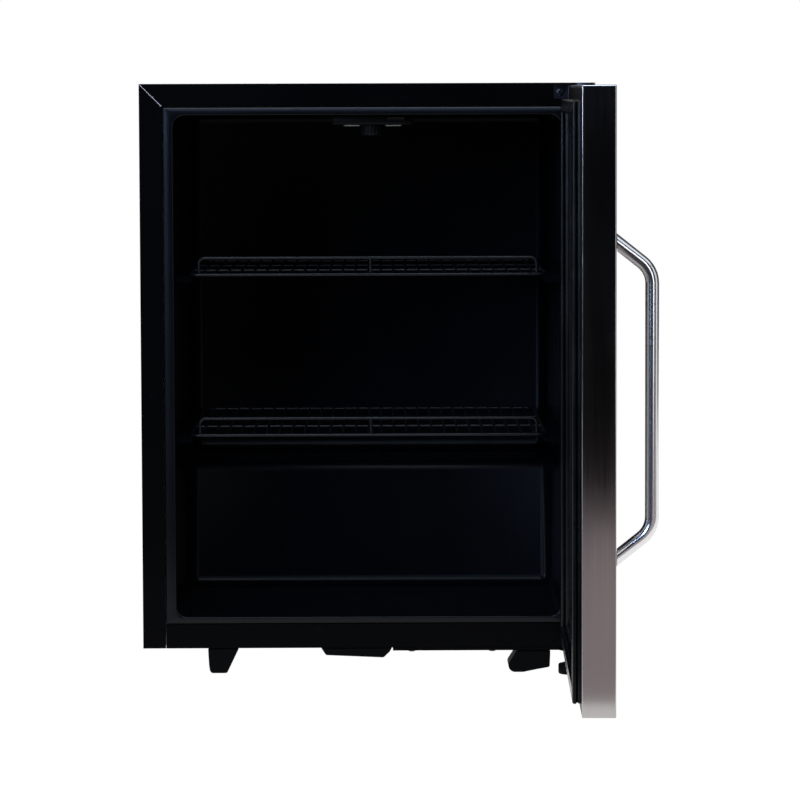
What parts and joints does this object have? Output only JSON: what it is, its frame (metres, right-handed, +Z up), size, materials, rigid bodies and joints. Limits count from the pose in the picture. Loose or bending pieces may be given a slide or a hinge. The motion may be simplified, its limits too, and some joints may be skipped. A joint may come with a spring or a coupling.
{
  "type": "mini fridge",
  "caption": "Compact can cooler: steel cabinet on feet, moulded liner, wire shelves with raised guards, hinged glass door with a bent bar handle, rear compressor and coil.",
  "frame": {"origin": "on the floor, under the middle of the whole object's box with the door open as modelled", "axes": "+Z up, +X to the right seen from the front, +Y to the back"},
  "size_m": [0.5112, 0.9422, 0.62],
  "materials": {
    "cabinet_steel": "smooth satin black paint on sheet steel",
    "raw_steel": "galvanised sheet steel, dull grey",
    "stainless": "vertical brushed stainless steel",
    "chrome": "bright zinc plating on hinge parts and screws",
    "liner_plastic": "glossy near-black moulded liner",
    "black_plastic": "fine moulded texture, black",
    "seal_rubber": "soft black extrusion",
    "foot_rubber": "moulded black feet and mounts",
    "foam": null,
    "glass": "smoke-tinted pane",
    "lens": "milky translucent plastic",
    "bush_plastic": "white bearing plastic",
    "aluminium": "mill-finish aluminium",
    "copper": "copper pipe, slightly oxidised",
    "compressor_paint": "thick black paint on the pressed shell",
    "shelf_wire": "black dip-coated steel wire"
  },
  "bodies": {
    "cabinet": {"cabinet_wrapper": "cabinet_steel", "back_panel": "cabinet_steel", "base_rail": "cabinet_steel", "base_pan": "raw_steel", "inner_liner": "liner_plastic", "insulation_foam": "foam", "evaporator_plate": "aluminium", "front_foot_left": "foot_rubber", "front_foot_right": "foot_rubber", "centre_base_pad": "foot_rubber", "rear_foot_left": "foot_rubber", "rear_foot_right": "foot_rubber", "machine_tray": "raw_steel", "rubber_mount_1": "foot_rubber", "rubber_mount_2": "foot_rubber", "rubber_mount_3": "foot_rubber", "rubber_mount_4": "foot_rubber", "compressor_plate": "compressor_paint", "compressor_shell": "compressor_paint", "relay_cover": "black_plastic", "evaporation_pan": "black_plastic", "drain_tube": "black_plastic", "condenser_coil": "cabinet_steel", "condenser_rail_left": "cabinet_steel", "condenser_rail_right": "cabinet_steel", "filter_drier": "copper", "discharge_pipe": "copper", "suction_pipe": "copper", "capillary_tube": "copper", "cord_gland": "black_plastic", "control_housing": "black_plastic", "lamp_lens": "lens", "top_hinge_bracket": "chrome", "top_hinge_pin": "chrome", "top_hinge_screw_1": "chrome", "top_hinge_screw_2": "chrome", "bottom_hinge_plate": "cabinet_steel", "bottom_hinge_pin": "chrome", "bottom_hinge_screw_1": "chrome", "bottom_hinge_screw_2": "chrome"},
    "door": {"door_frame": "stainless", "door_core": "black_plastic", "outer_glass": "glass", "inner_glass": "glass", "glass_spacer": "aluminium", "door_seal": "seal_rubber", "handle": "stainless", "upper_handle_boss": "black_plastic", "lower_handle_boss": "black_plastic", "top_hinge_bush": "bush_plastic", "bottom_hinge_bush": "bush_plastic"},
    "upper_shelf_unit": {"upper_shelf": "shelf_wire", "upper_shelf_guard": "shelf_wire"},
    "lower_shelf_unit": {"lower_shelf": "shelf_wire", "lower_shelf_guard": "shelf_wire"},
    "thermostat": {"thermostat_knob": "black_plastic"},
    "light_switch": {"light_switch_rocker": "black_plastic"},
    "leveller": {"levelling_foot": "foot_rubber"}
  },
  "joints": [
    {"name": "door_hinge", "type": "hinge", "parent": "cabinet", "child": "door", "pos_m": [0.20645, -0.00887, 0.3], "axis": [0, 0, 1], "range_deg": [-88.8, 31.2]},
    {"name": "upper_shelf_slide", "type": "slide", "parent": "cabinet", "child": "upper_shelf_unit", "axis": [0, -1, 0], "range_m": [0, 0.24]},
    {"name": "lower_shelf_slide", "type": "slide", "parent": "cabinet", "child": "lower_shelf_unit", "axis": [0, -1, 0], "range_m": [0, 0.24]},
    {"name": "thermostat_turn", "type": "hinge", "parent": "cabinet", "child": "thermostat", "pos_m": [-0.01205, 0.10913, 0.5757], "axis": [0, 0, -1], "range_deg": [0, 270]},
    {"name": "light_switch_rock", "type": "hinge", "parent": "cabinet", "child": "light_switch", "pos_m": [0.01295, 0.07183, 0.5816], "axis": [1, 0, 0], "range_deg": [-16, 0]},
    {"name": "leveller_turn", "type": "hinge", "parent": "cabinet", "child": "leveller", "pos_m": [0.19345, 0.00713, 0], "axis": [0, 0, 1], "continuous": true}
  ]
}
